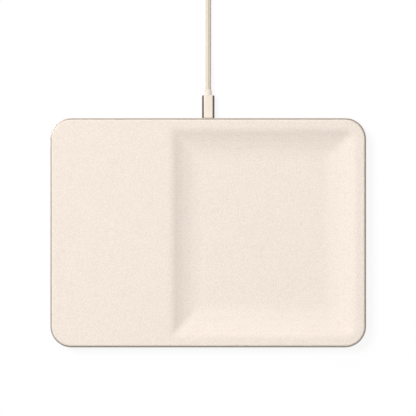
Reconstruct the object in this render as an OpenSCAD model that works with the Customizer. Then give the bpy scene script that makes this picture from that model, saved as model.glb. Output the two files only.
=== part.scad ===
/* [Tray] */
// Width of the tray from side to side
tray_w = 245; // [238:1:280]
// Depth of the tray from front to back
tray_d = 178; // [165:1:200]
// Height of the tray above the surface it stands on
tray_h = 15; // [14.6:0.1:20]
// Radius of the tray's corners, seen from above
corner_r = 16.4; // [14:0.1:20]

/* [Valet recess] */
// Width of the flat charging pad, up to where the recess begins
pad_w = 91.7; // [88:0.1:100]
// Width of the flat band round the other three sides of the recess
band_w = 6.25; // [5.75:0.05:9]
// Depth of the recess
recess_depth = 6; // [4:0.1:6.2]
// Length of the curved wall on the three outer sides, from its crest to the floor
outer_run = 29; // [26:0.5:34]
// Length of the curved wall beside the charging pad
pad_run = 26.4; // [22:0.1:32]
// Radius over the crest of the walls
crest_r = 13; // [8:0.5:15]
// Radius of the recess's two outer corners
recess_r = 10; // [6:0.5:12]

/* [Leather and shell] */
// Thickness of the leather
leather_t = 1; // [0.8:0.1:1.3]
// Radius of the leather's top edge
edge_r = 2; // [1.5:0.1:3]
// Thickness of the moulded shell under the leather
shell_t = 2; // [1.6:0.1:2.2]
// Thickness of the shell's stiffening ribs
rib_t = 1.6; // [1.2:0.1:2.4]
// Number of ribs across the recess floor each way
ribs = 3; // [2:1:4]
// Width of one of the three round dimples that mark the middle of the pad
dimple_d = 4; // [3:0.5:6]
// Distance from one dimple to the next
dimple_pitch = 7.2; // [6.5:0.1:10]
// Depth of the dimples
dimple_depth = 0.25; // [0.1:0.05:0.5]

/* [Rim and base] */
// Thickness of the metal rim
rim_t = 1.2; // [1:0.1:1.8]
// Height of the rim's top edge
rim_top = 8; // [7.8:0.1:9]
// Width of the ledge inside the rim that the leather stands on
ledge_w = 2.2; // [1.8:0.1:2.6]
// Thickness of that ledge
ledge_t = 1.2; // [1:0.1:1.4]
// Thickness of the bottom plate
base_t = 2; // [1.6:0.1:2.2]
// Thickness of the silicone foot mat
pad_t = 1; // [0.8:0.1:1.2]
// Distance from the edge of the bottom plate to the foot mat
pad_margin = 4; // [3:0.5:6]
// Diameter of the case screws' shanks
screw_d = 2.3; // [2:0.1:2.5]
// Length of the case screws' shanks
screw_l = 6.5; // [5.5:0.1:7]

/* [Charging coils] */
// Width of a coil, across the pad
coil_w = 53; // [48:0.5:56]
// Depth of a coil, front to back
coil_d = 46; // [42:0.5:47]
// Width of a coil's winding
coil_band = 13; // [10:0.5:14]
// Thickness of a coil
coil_t = 1.1; // [0.8:0.1:1.2]
// Distance from one coil's middle to the next
coil_pitch = 24; // [23.5:0.1:25]
// Thickness of the ferrite sheet under the coils
ferrite_t = 1.2; // [0.8:0.1:1.4]
// Thickness of the coil holder's plate
holder_t = 1.5; // [1.2:0.1:1.8]

/* [Circuit boards] */
// Width of the main board
board_w = 64; // [60:1:66]
// Depth of the main board
board_d = 27; // [26:0.5:28]
// Thickness of the main board
board_t = 1.6; // [1:0.1:1.6]
// Room above the main board for its components
parts_room = 3.7; // [3.4:0.1:3.9]
// Width of the port board
port_board_w = 22; // [20.5:0.5:24]
// Depth of the port board
port_board_d = 14; // [13:0.5:14.5]
// Thickness of the port board
port_board_t = 1.2; // [0.8:0.1:1.2]
// Diameter of the small screws' shanks
small_screw_d = 1.8; // [1.6:0.1:2]

/* [Charging socket] */
// Height of the socket's middle above the surface
port_z = 4.6; // [4.55:0.05:4.8]
// Width of the socket's metal shell
port_w = 8.94; // [8.9:0.02:9.1]
// Height of the socket's metal shell
port_h = 3.16; // [3.1:0.02:3.2]
// Wall of the socket's metal shell
port_wall = 0.3; // [0.25:0.01:0.32]
// Length of the socket
port_l = 7.3; // [7.1:0.1:7.6]

/* [Cable] */
// Width of the plug's metal tip
tip_w = 8.25; // [8.1:0.01:8.28]
// Height of the plug's metal tip
tip_h = 2.4; // [2.3:0.02:2.42]
// Length of the plug's metal tip
tip_l = 6.65; // [6.4:0.05:6.7]
// Width of the plug's housing
plug_w = 9.7; // [9.4:0.1:12]
// Height of the plug's housing
plug_h = 6; // [5.4:0.1:6.2]
// Length of the plug's housing
plug_l = 17.6; // [15:0.1:22]
// Diameter of the strain relief collar
collar_d = 5.5; // [5:0.1:5.8]
// Length of the strain relief collar
collar_l = 4.4; // [4:0.1:5]
// Diameter of the cord
cord_d = 4.3; // [4:0.1:4.4]
// Turns in the coiled length, in two layers
coil_turns = 10.25; // [8.25:1:10.25]
// Radius at the middle of the coiled turns
turn_r = 25.5; // [25:0.1:27]
// Width of the strap round the coiled cord
tie_w = 8; // [6:1:10]

/* [Hidden] */
$fn = 48;
// How far a cut runs past the face that it opens
past = 1;
// Thickness of the glue between the leather and the shell
glue_t = 0.1;
// Clearance between the rim and what stands inside it
rim_gap = 0.05;
// Clearance between the bottom plate and the rim
plate_gap = 0.15;
// Clearance round a screw, and between a wire or a chip and what it passes
slip = 0.1;
// Clearance between the coils and the shell
coil_gap = 0.3;

// Colours
bone = "#F1E5D8";
champagne = "#C9BBAA";
moulding = "#D9D2C6";
mat_grey = "#B9B0A4";
steel = "#A9ABAD";
copper = "#B56B3A";
ferrite_grey = "#3A3A3D";
board_green = "#1F6B45";
chip_black = "#26262A";
ceramic_tan = "#A98A63";
wire_red = "#A83A32";

// Heights, from the surface up
mat_seat = 0.4;
plate_z = pad_t - mat_seat;
plate_top = plate_z + base_t;
rim_z = plate_z + 0.2;
ledge_top = plate_top + ledge_t;
boss_h = 1.6;
boss_top = plate_top + boss_h;

// Depths below the top of the tray at which each skin begins
shell_out = leather_t + glue_t;
shell_in = shell_out + shell_t;
underside = tray_h - shell_in;

// Outline of each ring of pieces, as a distance in from the outside of the rim
leather_inset = rim_t + rim_gap;
plate_inset = rim_t + plate_gap;
inner_inset = leather_inset + shell_in;

// Plan of the recess
recess_x0 = pad_w - tray_w / 2;
recess_x1 = tray_w / 2 - band_w;
recess_y1 = tray_d / 2 - band_w;
crest_steps = 4;
foot_steps = 8;

// Case screws: their heads, bosses and places
head_d = 4.2;
head_h = 1.35;
boss_r = 3.6;
shell_boss_r = 3.2;
head_seat_z = boss_top - 1.8;
screw_y = tray_d / 2 - 10;
screw_xs = [12.5 - tray_w / 2, recess_x0 - 3.2, (recess_x0 + recess_x1) / 2 - 3, tray_w / 2 - 12.5];

// Small screws: their heads and posts
small_head_d = 3.6;
small_head_h = 1.1;
post_r = 2.6;
small_screw_bite = 2.6;

// Main board, behind the charging pad and clear of the case screws
board_top = underside - parts_room;
board_bottom = board_top - board_t;
board_cx = screw_xs[1] - boss_r - 3.4 - board_w / 2;
board_cy = tray_d / 2 - inner_inset - 1.5 - board_d / 2;
board_post_x = board_w / 2 - 10;
board_post_y = board_d / 2 - 3.4;

// Heights of the coil stack, from the shell down
coil_top = underside - coil_gap;
coil_low_top = coil_top - coil_t;
ferrite_top = coil_low_top - coil_t;
holder_top = ferrite_top - ferrite_t;
holder_bottom = holder_top - holder_t;

// Plan of the coils and their holder, in front of the main board
coil_r = 15;
window_r = 6;
coils_l = coil_d + 2 * coil_pitch;
ferrite_w = coil_w + 7;
ferrite_l = coils_l + 6;
holder_wall = 1.5;
holder_w = ferrite_w + 2 * (holder_wall + slip);
holder_l = ferrite_l + 2 * (holder_wall + slip);
ear_r = 3.6;
ear_x = holder_w / 2 + post_r + 0.2;
ear_y = coils_l / 2 - 6;
holder_to_board = 5.05;
coil_shift = 2.25;
coil_cx = (recess_x0 - tray_w / 2) / 2 + coil_shift;
coil_cy = board_cy - board_d / 2 - holder_to_board - holder_l / 2;

// Port board, above the socket
port_front = tray_d / 2 - 0.4;
port_board_bottom = port_z + port_h / 2;
port_board_top = port_board_bottom + port_board_t;
port_board_back = tray_d / 2 - inner_inset - 0.3;
port_screw_x = port_board_w / 2 - 2.8;
port_screw_y = port_board_back - 4.4;
port_wire_y = port_board_back - port_board_d + 1.2;
port_wire_pitch = 1.15;

// Wires: their gaps in the holder and the height of a wire's middle above what its flat side lies on
wire_d = 0.8;
wire_sides = 6;
wire_lie = wire_d / 2 * cos(180 / wire_sides);
lane_gap = 0.1;
stub = 0.1;

// Socket and plug, with the cable seated
seat_gap = 0.2;
insulator_l = 0.9;
tongue_w = 6.6;
tongue_h = 0.7;
tongue_l = 4.7;
tip_wall = 0.3;
tip_bore_l = tip_l - 0.9;
plug_face_y = tray_d / 2 + seat_gap;
plug_edge = 0.8;
plug_side_r = 2.4;
collar_dome = 0.9;

// Cord: height of its middle where it lies on the strap, and the steps between its turns
tie_t = 0.6;
tie_gap = 0.25;
coil_z = cord_d / 2 + tie_t + tie_gap;
cord_gap = 0.5;
turn_pitch = cord_d + cord_gap;
spiral = coil_turns / 2;
turn_out = turn_r + turn_pitch * spiral / 2;
turn_in = turn_r - turn_pitch * spiral / 2;
coil_sides = 6;
cord_sides = 8;
loop_rings = 24;
run_l = 115;
tail_l = 51.2;
run_start_y = plug_face_y + plug_l + collar_l;
coil_start_y = run_start_y + run_l;
tail_start = [turn_out + cord_d, coil_start_y + turn_out, 0];
// The far plug lies flat on the surface
far_z = plug_h / 2;

// The cord's way from the plug to the coil, from the near plug's collar
run_points = [
    [0, 0, port_z], [0, 4, port_z], [0, 9, 4.4], [0, 15, 4], [0, 21, 3.4], [0, 28, 2.8], [0, 36, 2.3],
    [0, 45, 2.2], [0, 54, 2.2], [0, 63, 2.2], [0, 72, 2.2], [0, 81, 2.3], [0, 90, 2.6], [0, 99, 2.9],
    [0, run_l - 2 * cord_d, coil_z], [0, run_l - cord_d, coil_z]
];
// The cord's way from the coil to the far plug, from the coil's end
tail_points = [
    [0, 0, coil_z + turn_pitch], [4, 0, coil_z + turn_pitch], [10, 0, 7.1], [16, 0, 6], [22, 0, 4.7],
    [28, 0, 3.5], [34, 0, 2.7], [40, 0, 2.6], [46, 0, far_z], [tail_l, 0, far_z]
];

// Points along an arc
function arc(cx, cy, r, from, to, n) =
    [for (i = [0:n]) let (a = from + (to - from) * i / n) [cx + r * cos(a), cy + r * sin(a)]];

// The curved wall of the recess, t below its surface: a crest that rolls over, then a foot that
// levels out, as [distance in from the crest, height under the top]
function wall(run, t) =
    let (steep = 2 * atan(recess_depth / run), foot_r = run / sin(steep) - crest_r)
    concat(
        [for (i = [0:crest_steps])
            let (a = steep * i / crest_steps)
            [(crest_r - t) * sin(a), (crest_r - t) * cos(a) - crest_r]],
        [for (i = [1:foot_steps])
            let (a = steep * (1 - i / foot_steps))
            [run - (foot_r + t) * sin(a), foot_r - recess_depth - (foot_r + t) * cos(a)]]
    );

function backwards(list) = [for (i = [len(list) - 1:-1:0]) list[i]];

// Rectangle with round corners
module rounded(w, d, r) {
    square([w - 2 * r, d], center = true);
    square([w, d - 2 * r], center = true);
    for (x = [-1, 1], y = [-1, 1])
        translate([x * (w / 2 - r), y * (d / 2 - r)]) circle(r);
}

// Rectangle with round ends
module slot(w, h) {
    square([w - h, h], center = true);
    for (x = [-1, 1])
        translate([x * (w - h) / 2, 0]) circle(h / 2);
}

// The tray's outline, seen from above, inset from the outside of the rim
module outline(inset) {
    rounded(tray_w - 2 * inset, tray_d - 2 * inset, corner_r - inset);
}

// A cross-section, as [distance in from the outline, height], carried round the outline
module round_about(inset, section) {
    w = tray_w - 2 * inset;
    d = tray_d - 2 * inset;
    r = corner_r - inset;
    for (turn = [0, 1]) {
        long = turn == 0 ? w : d;
        deep = turn == 0 ? d : w;
        for (side = [0, 1])
            rotate(90 * turn + 180 * side)
                translate([0, deep / 2, 0])
                    rotate([90, 0, 90])
                        linear_extrude(long - 2 * r, center = true)
                            polygon([for (p = section) [-p[0], p[1]]]);
    }
    for (x = [0, 1], y = [0, 1])
        mirror([x, 0, 0]) mirror([0, y, 0])
            translate([w / 2 - r, d / 2 - r, 0])
                rotate_extrude(angle = 90)
                    polygon([for (p = section) [r - p[0], p[1]]]);
}

// The tray's solid body, t inside the leather, without its recess
module block(t, bottom) {
    inset = leather_inset + t;
    top = tray_h - t;
    edge = max(edge_r - t, 0.4);
    overlap = 2;
    translate([0, 0, bottom]) linear_extrude(top - bottom) outline(inset + edge);
    round_about(inset, concat(
        [[edge + overlap, bottom], [0, bottom]],
        arc(edge, top - edge, edge, 180, 90, 5),
        [[edge + overlap, top]]
    ));
}

// The hollow of the recess, t under the leather's surface
module recess(t) {
    up = past + t;
    outer = wall(outer_run, t);
    beside_pad = wall(pad_run, t);
    low = recess_depth + t + past;
    translate([0, 0, tray_h]) difference() {
        intersection() {
            rotate([90, 0, 0]) linear_extrude(tray_d, center = true) polygon(concat(
                [for (p = beside_pad) [recess_x0 + p[0], p[1]]],
                [for (p = backwards(outer)) [recess_x1 - p[0], p[1]]],
                [[recess_x1, up], [recess_x0, up]]
            ));
            rotate([90, 0, 90]) linear_extrude(2 * tray_w, center = true) polygon(concat(
                [for (p = outer) [p[0] - recess_y1, p[1]]],
                [for (p = backwards(outer)) [recess_y1 - p[0], p[1]]],
                [[recess_y1, up], [-recess_y1, up]]
            ));
        }
        for (y = [0, 1])
            mirror([0, y, 0])
                translate([recess_x1 - recess_r, recess_y1 - recess_r, 0])
                    difference() {
                        translate([0, 0, -low]) cube([recess_r + past, recess_r + past, low + 2 * up]);
                        rotate_extrude() polygon(concat(
                            [for (p = outer) if (p[0] < recess_r) [recess_r - p[0], p[1]]],
                            [[0, lookup(recess_r, outer)], [0, 3 * up], [recess_r, 3 * up]]
                        ));
                    }
    }
}

// The tray's body with its recess, t inside the leather's surface
module form(t, bottom) {
    difference() {
        block(t, bottom);
        recess(t);
    }
}

// Where the case screws are
module at_case_screws() {
    for (x = screw_xs, y = [-screw_y, screw_y])
        translate([x, y, 0]) children();
}

module at_holder_screws() {
    for (x = [-ear_x, ear_x], y = [-ear_y, ear_y])
        translate([coil_cx + x, coil_cy + y, 0]) children();
}

module at_board_screws() {
    for (x = [-board_post_x, board_post_x], y = [-board_post_y, board_post_y])
        translate([board_cx + x, board_cy + y, 0]) children();
}

module at_port_screws() {
    for (x = [-port_screw_x, port_screw_x])
        translate([x, port_screw_y, 0]) children();
}

// A bar with the socket's cross-section, from y forward by l
module oval(w, h, y, l) {
    translate([0, y, port_z]) rotate([90, 0, 0]) linear_extrude(l) slot(w, h);
}

// A screw that points up, with its head's seat at z
module screw(d, l, head, head_t, z) {
    difference() {
        union() {
            translate([0, 0, z - head_t]) cylinder(d = head, h = head_t);
            translate([0, 0, z - head_t / 2]) cylinder(d = d, h = l + head_t / 2);
        }
        translate([0, 0, z - head_t - past]) cylinder(d = head / 2, h = past + head_t / 2, $fn = 6);
    }
}

// The hole that such a screw goes l deep into, from its mouth at z up
module screw_hole(d, l, z) {
    translate([0, 0, z - past]) cylinder(d = d + 2 * slip, h = past + l + slip);
}

// Tray

module leather_cover() {
    color(bone) difference() {
        form(0, ledge_top);
        form(leather_t, ledge_top - past);
        for (i = [-1:1])
            translate([coil_cx, coil_cy + i * dimple_pitch, tray_h - dimple_depth])
                cylinder(d = dimple_d, h = dimple_depth + past);
        oval(port_w + 1, port_h + 1, tray_d / 2, inner_inset);
        translate([-port_w / 2 - 0.5, tray_d / 2 - inner_inset, ledge_top - past])
            cube([port_w + 1, inner_inset, port_z - ledge_top + past]);
    }
}

module shell_ribs() {
    rib_z = plate_top + plate_gap;
    x0 = recess_x0 + pad_run;
    x1 = recess_x1 - outer_run;
    y1 = recess_y1 - outer_run;
    for (i = [1:ribs]) {
        translate([x0 + (x1 - x0) * i / (ribs + 1) - rib_t / 2, -y1, rib_z])
            cube([rib_t, 2 * y1, underside - rib_z]);
        translate([x0, y1 * (2 * i / (ribs + 1) - 1) - rib_t / 2, rib_z])
            cube([x1 - x0, rib_t, underside - rib_z]);
    }
}

module shell_posts() {
    at_case_screws() translate([0, 0, boss_top]) cylinder(r = shell_boss_r, h = tray_h - boss_top);
    at_holder_screws() translate([0, 0, holder_top]) cylinder(r = post_r, h = tray_h - holder_top);
    at_board_screws() translate([0, 0, board_top]) cylinder(r = post_r, h = tray_h - board_top);
    at_port_screws() translate([0, 0, port_board_top]) cylinder(r = post_r, h = tray_h - port_board_top);
}

module tray_shell() {
    color(moulding) difference() {
        union() {
            difference() {
                form(shell_out, ledge_top);
                form(shell_in, ledge_top - past);
            }
            intersection() {
                union() {
                    shell_ribs();
                    shell_posts();
                }
                form(shell_out + shell_t / 2, plate_top);
            }
        }
        at_case_screws() screw_hole(screw_d, screw_l - (boss_top - head_seat_z), boss_top);
        at_holder_screws() screw_hole(small_screw_d, small_screw_bite, holder_top);
        at_board_screws() screw_hole(small_screw_d, small_screw_bite, board_top);
        at_port_screws() screw_hole(small_screw_d, small_screw_bite, port_board_top);
        translate([-port_w / 2 - 0.5, tray_d / 2 - inner_inset - past, ledge_top - past])
            cube([port_w + 1, inner_inset + past, port_z + port_h / 2 + 0.5 - ledge_top + past]);
    }
}

module metal_rim() {
    chamfer = 0.25;
    color(champagne) difference() {
        round_about(0, [
            [0, rim_z + chamfer], [0, rim_top - chamfer], [chamfer, rim_top], [rim_t - chamfer, rim_top],
            [rim_t, rim_top - chamfer], [rim_t, ledge_top], [rim_t + ledge_w, ledge_top],
            [rim_t + ledge_w, plate_top], [rim_t, plate_top], [rim_t, rim_z], [chamfer, rim_z]
        ]);
        oval(port_w + 0.3, port_h + 0.3, tray_d / 2 + past, rim_t + ledge_w + 2 * past);
        translate([-port_w / 2 - 0.5, tray_d / 2 - rim_t - ledge_w - past, plate_top - past])
            cube([port_w + 1, ledge_w + past, ledge_top - plate_top + 2 * past]);
    }
}

module base_plate() {
    color(moulding) difference() {
        union() {
            translate([0, 0, plate_z]) linear_extrude(base_t) outline(plate_inset);
            at_case_screws() translate([0, 0, plate_z + base_t / 2])
                cylinder(r = boss_r, h = boss_top - plate_z - base_t / 2);
        }
        translate([0, 0, plate_z - past]) linear_extrude(past + mat_seat)
            outline(plate_inset + pad_margin - plate_gap);
        at_case_screws() {
            translate([0, 0, plate_z - past]) cylinder(d = head_d + 2 * slip, h = past + head_seat_z - plate_z);
            screw_hole(screw_d, boss_top - plate_z, plate_z);
        }
    }
}

module base_pad() {
    color(mat_grey) linear_extrude(pad_t) outline(plate_inset + pad_margin);
}

module base_screws() {
    color(steel) at_case_screws() screw(screw_d, screw_l, head_d, head_h, head_seat_z);
}

// Charging coils

module coil_holder() {
    color(moulding) difference() {
        union() {
            translate([coil_cx - holder_w / 2, coil_cy - holder_l / 2, holder_bottom])
                cube([holder_w, holder_l, holder_t]);
            for (x = [-1, 1])
                translate([coil_cx + x * (holder_w - holder_wall) / 2 - holder_wall / 2,
                           coil_cy - holder_l / 2, holder_top - slip])
                    cube([holder_wall, holder_l, underside - holder_top + slip]);
            for (y = [-1, 1])
                translate([coil_cx - holder_w / 4, coil_cy + y * (holder_l - holder_wall) / 2 - holder_wall / 2,
                           holder_top - slip])
                    cube([holder_w / 2, holder_wall, underside - holder_top + slip]);
            at_holder_screws() translate([0, 0, holder_bottom]) cylinder(r = ear_r, h = holder_t);
        }
        at_holder_screws() screw_hole(small_screw_d, holder_t, holder_bottom);
    }
}

module holder_screws() {
    color(steel) at_holder_screws()
        screw(small_screw_d, holder_t + small_screw_bite, small_head_d, small_head_h, holder_bottom);
}

module ferrite_sheet() {
    color(ferrite_grey) translate([coil_cx - ferrite_w / 2, coil_cy - ferrite_l / 2, holder_top])
        cube([ferrite_w, ferrite_l, ferrite_t]);
}

// A flat winding with round corners, n pitches from the middle of the pad
module winding(n, z) {
    translate([coil_cx, coil_cy + n * coil_pitch, z]) linear_extrude(coil_t) difference() {
        rounded(coil_w, coil_d, coil_r);
        rounded(coil_w - 2 * coil_band, coil_d - 2 * coil_band, window_r);
    }
}

module coil_front() { color(copper) winding(-1, ferrite_top); }
module coil_middle() { color(copper) winding(0, coil_low_top); }
module coil_back() { color(copper) winding(1, ferrite_top); }

// Both ends of each coil turn back along the holder's side walls and go down to the main board
module coil_leads() {
    board_front = board_cy - board_d / 2;
    run_z = ferrite_top + wire_lie;
    color(copper) for (side = [0, 1], n = [-1:1]) {
        bend = wire_d * 0.8 + (1 - n) * (wire_d + lane_gap);
        lane = coil_w / 2 + bend;
        from_y = n * coil_pitch;
        from_z = (n == 0 ? coil_low_top : ferrite_top) + coil_t / 2;
        translate([coil_cx, coil_cy, 0]) mirror([side, 0, 0]) tube(concat(
            [[coil_w / 2, from_y, from_z]],
            [for (p = arc(coil_w / 2 + stub, from_y + bend - stub, bend - stub, -90, 0, 3))
                [p[0], p[1], from_z]],
            [
                [lane, from_y + bend + 4, run_z],
                [lane, holder_l / 2, run_z],
                [lane, board_front - coil_cy + 1, board_top + wire_lie],
                [lane, board_front - coil_cy + 3, board_top + wire_lie]
            ]
        ), wire_d, wire_sides);
    }
}

// Circuit boards

module main_board() {
    color(board_green) difference() {
        translate([board_cx - board_w / 2, board_cy - board_d / 2, board_bottom]) cube([board_w, board_d, board_t]);
        at_board_screws() screw_hole(small_screw_d, board_t, board_bottom);
    }
}

module board_screws() {
    color(steel) at_board_screws()
        screw(small_screw_d, board_t + small_screw_bite, small_head_d, small_head_h, board_bottom);
}

// A component on the main board, x and y from the board's middle
module on_board(x, y, size) {
    translate([board_cx + x - size[0] / 2, board_cy + y - size[1] / 2, board_top]) cube(size);
}

module controller_chip() {
    color(chip_black) on_board(12, 2, [7, 7, 0.9]);
}

module bridge_transistors() {
    color(chip_black) for (x = [-1, 1], y = [-1, 1]) on_board(2 + x * 2.4, 1 + y * 2.6, [3.3, 3.3, 0.9]);
}

module resonant_capacitors() {
    color(ceramic_tan) for (i = [0:3]) on_board(-12.5, (i - 1.5) * 4, [4.5, 3.2, 2.5]);
}

module power_inductor() {
    side = 7;
    high = 3;
    color(ferrite_grey) translate([board_cx - 24.5, board_cy + 1, board_top]) union() {
        translate([-side / 2, -side / 2, 0]) cube([side, side, high - 0.6]);
        cylinder(d = side - 0.8, h = high);
    }
}

module port_board() {
    color(board_green) difference() {
        translate([-port_board_w / 2, port_board_back - port_board_d, port_board_bottom])
            cube([port_board_w, port_board_d, port_board_t]);
        at_port_screws() screw_hole(small_screw_d, port_board_t, port_board_bottom);
    }
}

module port_screws() {
    color(steel) at_port_screws()
        screw(small_screw_d, port_board_t + small_screw_bite, small_head_d, small_head_h, port_board_bottom);
}

module port_shell() {
    color(steel) difference() {
        oval(port_w, port_h, port_front, port_l);
        oval(port_w - 2 * port_wall, port_h - 2 * port_wall, port_front + past, port_l + 2 * past);
    }
}

module port_tongue() {
    back = port_front - port_l;
    color(chip_black) {
        oval(port_w - 2 * port_wall - 0.06, port_h - 2 * port_wall - 0.06, back + insulator_l, insulator_l);
        translate([-tongue_w / 2, back + insulator_l / 2, port_z - tongue_h / 2])
            cube([tongue_w, tongue_l + insulator_l / 2, tongue_h]);
    }
}

// Power and data wires, soldered under both boards
module port_leads() {
    board_edge = board_cx + board_w / 2;
    low = port_board_bottom - wire_lie;
    high = board_bottom - wire_lie;
    color(wire_red) for (i = [0:3]) {
        y = port_wire_y + i * port_wire_pitch;
        tube([
            [3 - port_board_w / 2, y, low], [-port_board_w / 2 - 2, y, low],
            [board_edge + 2, y, high], [board_edge - 3, y, high]
        ], wire_d, wire_sides);
    }
}

// Cable

// The plug's metal tip, pointing to -Y from the housing's face at y = 0
module tip() {
    color(steel) difference() {
        rotate([90, 0, 0]) linear_extrude(tip_l) slot(tip_w, tip_h);
        translate([0, -tip_l + tip_bore_l, 0]) rotate([90, 0, 0])
            linear_extrude(tip_bore_l + past) slot(tip_w - 2 * tip_wall, tip_h - 2 * tip_wall);
    }
}

// The plug's housing, with rounded sides and a softened back edge
module housing() {
    color(champagne) hull() {
        rotate([-90, 0, 0]) linear_extrude(plug_l - plug_edge) rounded(plug_w, plug_h, plug_side_r, $fn = 32);
        rotate([-90, 0, 0]) linear_extrude(plug_l)
            rounded(plug_w - 2 * plug_edge, plug_h - 2 * plug_edge, plug_side_r - plug_edge, $fn = 32);
    }
}

// The strain relief, with a domed end that the cord leaves from
module collar() {
    r = collar_d / 2;
    color(bone) translate([0, plug_l, 0]) rotate([-90, 0, 0]) rotate_extrude() polygon(concat(
        [[0, 0], [r, 0]],
        [for (i = [0:6]) let (a = 75 * i / 6)
            [r - collar_dome + collar_dome * cos(a), collar_l - collar_dome + collar_dome * sin(a)]],
        [[cord_d / 2 - 0.6, collar_l], [0, collar_l]]
    ));
}

module at_near_end() {
    translate([0, plug_face_y, port_z]) children();
}

module at_far_end() {
    translate(tail_start + [tail_l + collar_l + plug_l, 0, far_z]) rotate(90) children();
}

// Faces of a tube with n rings of sides points, all of them triangles
function tube_faces(n, sides) = concat(
    [for (i = [0:n - 2], j = [0:sides - 1])
        let (a = i * sides + j, b = i * sides + (j + 1) % sides)
        each [[a, b, a + sides], [b, b + sides, a + sides]]],
    [for (j = [1:sides - 2]) [0, j + 1, j]],
    [for (j = [1:sides - 2]) let (e = (n - 1) * sides) [e, e + j, e + j + 1]]
);

function unit(v) = v / norm(v);

// A tube swept along points that never run straight up, with a flat side uppermost
module tube(points, d, sides) {
    n = len(points);
    rings = [for (i = [0:n - 1], j = [0:sides - 1])
        let (
            along = unit(points[min(i + 1, n - 1)] - points[max(i - 1, 0)]),
            side = unit(cross(along, [0, 0, 1])),
            up = cross(side, along),
            a = 90 + 360 * (j + 0.5) / sides
        )
        points[i] + d / 2 * (cos(a) * side + sin(a) * up)];
    polyhedron(points = rings, faces = tube_faces(n, sides));
}

// The coil's line: it spirals in on the surface, climbs a layer, and spirals out again
function coil_radius(s) = s < spiral ? turn_out - turn_pitch * s : turn_in + turn_pitch * (s - spiral);
function coil_climb(s) = (1 - cos(180 * min(max(2 * (s - spiral) + 0.5, 0), 1))) / 2;
function coil_point(s) = [
    turn_out - coil_radius(s) * cos(360 * s),
    coil_start_y + coil_radius(s) * sin(360 * s),
    coil_z + turn_pitch * coil_climb(s)
];
function coil_line() =
    let (steps = round(coil_turns * loop_rings), top = coil_point(coil_turns))
    concat(
        [[0, coil_start_y - cord_d, coil_z]],
        [for (i = [0:steps]) coil_point(coil_turns * i / steps)],
        [top + [cord_d, 0, 0]]
    );

// The least gap between turns that lie beside or on each other, from point to point
function least_gap(line) =
    min([for (i = [0:len(line) - 1])
        for (j = [i + loop_rings / 2:len(line) - 1]) norm(line[i] - line[j])]) - cord_d;

module plug_tip() { at_near_end() tip(); }
module plug_body() { at_near_end() housing(); }
module plug_collar() { at_near_end() collar(); }

module cord_run() {
    color(bone) translate([0, run_start_y, 0]) tube(run_points, cord_d, cord_sides);
}

module cord_coil() {
    echo(least_gap_between_turns = least_gap(coil_line()));
    color(bone) tube(coil_line(), cord_d, coil_sides);
}

module cord_tail() {
    color(bone) translate(tail_start) tube(tail_points, cord_d, cord_sides);
}

// A strap that holds the turns together, at the side of the coil away from the run
module cord_tie() {
    x0 = turn_out + turn_in - cord_d / 2 - tie_gap;
    x1 = 2 * turn_out + cord_d / 2 + tie_gap - turn_pitch / 2;
    z0 = coil_z - cord_d / 2 - tie_gap;
    z1 = coil_z + turn_pitch + cord_d / 2 + tie_gap;
    color(champagne) translate([0, coil_start_y + tie_w / 2, 0]) rotate([90, 0, 0]) linear_extrude(tie_w)
        difference() {
            translate([x0 - tie_t, z0 - tie_t]) square([x1 - x0 + 2 * tie_t, z1 - z0 + 2 * tie_t]);
            translate([x0, z0]) square([x1 - x0, z1 - z0]);
        }
}

module far_plug_collar() { at_far_end() collar(); }
module far_plug_body() { at_far_end() housing(); }
module far_plug_tip() { at_far_end() tip(); }

leather_cover();
tray_shell();
metal_rim();
base_plate();
base_pad();
base_screws();
coil_holder();
holder_screws();
ferrite_sheet();
coil_front();
coil_middle();
coil_back();
coil_leads();
main_board();
board_screws();
controller_chip();
bridge_transistors();
resonant_capacitors();
power_inductor();
port_board();
port_screws();
port_shell();
port_tongue();
port_leads();
plug_tip();
plug_body();
plug_collar();
cord_run();
cord_coil();
cord_tail();
cord_tie();
far_plug_collar();
far_plug_body();
far_plug_tip();
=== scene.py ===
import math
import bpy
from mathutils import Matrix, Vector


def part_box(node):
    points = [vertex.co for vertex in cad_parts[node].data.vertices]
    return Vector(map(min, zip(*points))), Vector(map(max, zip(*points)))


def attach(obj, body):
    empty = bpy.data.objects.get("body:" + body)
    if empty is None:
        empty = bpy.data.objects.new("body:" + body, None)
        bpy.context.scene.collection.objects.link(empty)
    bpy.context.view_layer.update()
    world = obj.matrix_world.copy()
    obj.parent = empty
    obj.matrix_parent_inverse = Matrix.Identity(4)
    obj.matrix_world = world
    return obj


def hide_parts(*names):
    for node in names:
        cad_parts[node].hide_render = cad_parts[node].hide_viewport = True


bl_info = {
    "name": "Charging tray with valet recess",
    "version": (1, 0, 0),
    "blender": (4, 5, 0),
    "location": "View3D > Sidebar > Charging Tray",
    "description": "Models a leather charging tray, its cable and its studio on the tray's packed parts",
    "category": "Object",
}

from collections import namedtuple

import bmesh
import bpy
from bpy.props import FloatProperty, FloatVectorProperty, PointerProperty
from mathutils import Vector

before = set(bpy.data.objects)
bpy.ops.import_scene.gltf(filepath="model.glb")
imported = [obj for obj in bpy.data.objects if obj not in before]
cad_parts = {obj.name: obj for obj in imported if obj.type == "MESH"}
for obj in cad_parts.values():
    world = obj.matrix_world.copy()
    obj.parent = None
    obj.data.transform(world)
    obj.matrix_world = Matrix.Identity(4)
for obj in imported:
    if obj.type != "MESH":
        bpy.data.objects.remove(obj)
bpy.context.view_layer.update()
MM = 0.001
# How far a cutter runs past the piece that it cuts
PAST = 1 * MM
# Room beside the charging socket in the leather and in the rim's ledge
SOCKET_ROOM = 0.5 * MM
# A difference in place that counts as none
HAIR = 0.01 * MM


def linear(hex_colour):
    """Turns an sRGB hex colour into linear RGBA."""
    parts = [int(hex_colour[i : i + 2], 16) / 255 for i in (1, 3, 5)]
    return tuple(c / 12.92 if c <= 0.04045 else ((c + 0.055) / 1.055) ** 2.4 for c in parts) + (1.0,)


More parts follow.
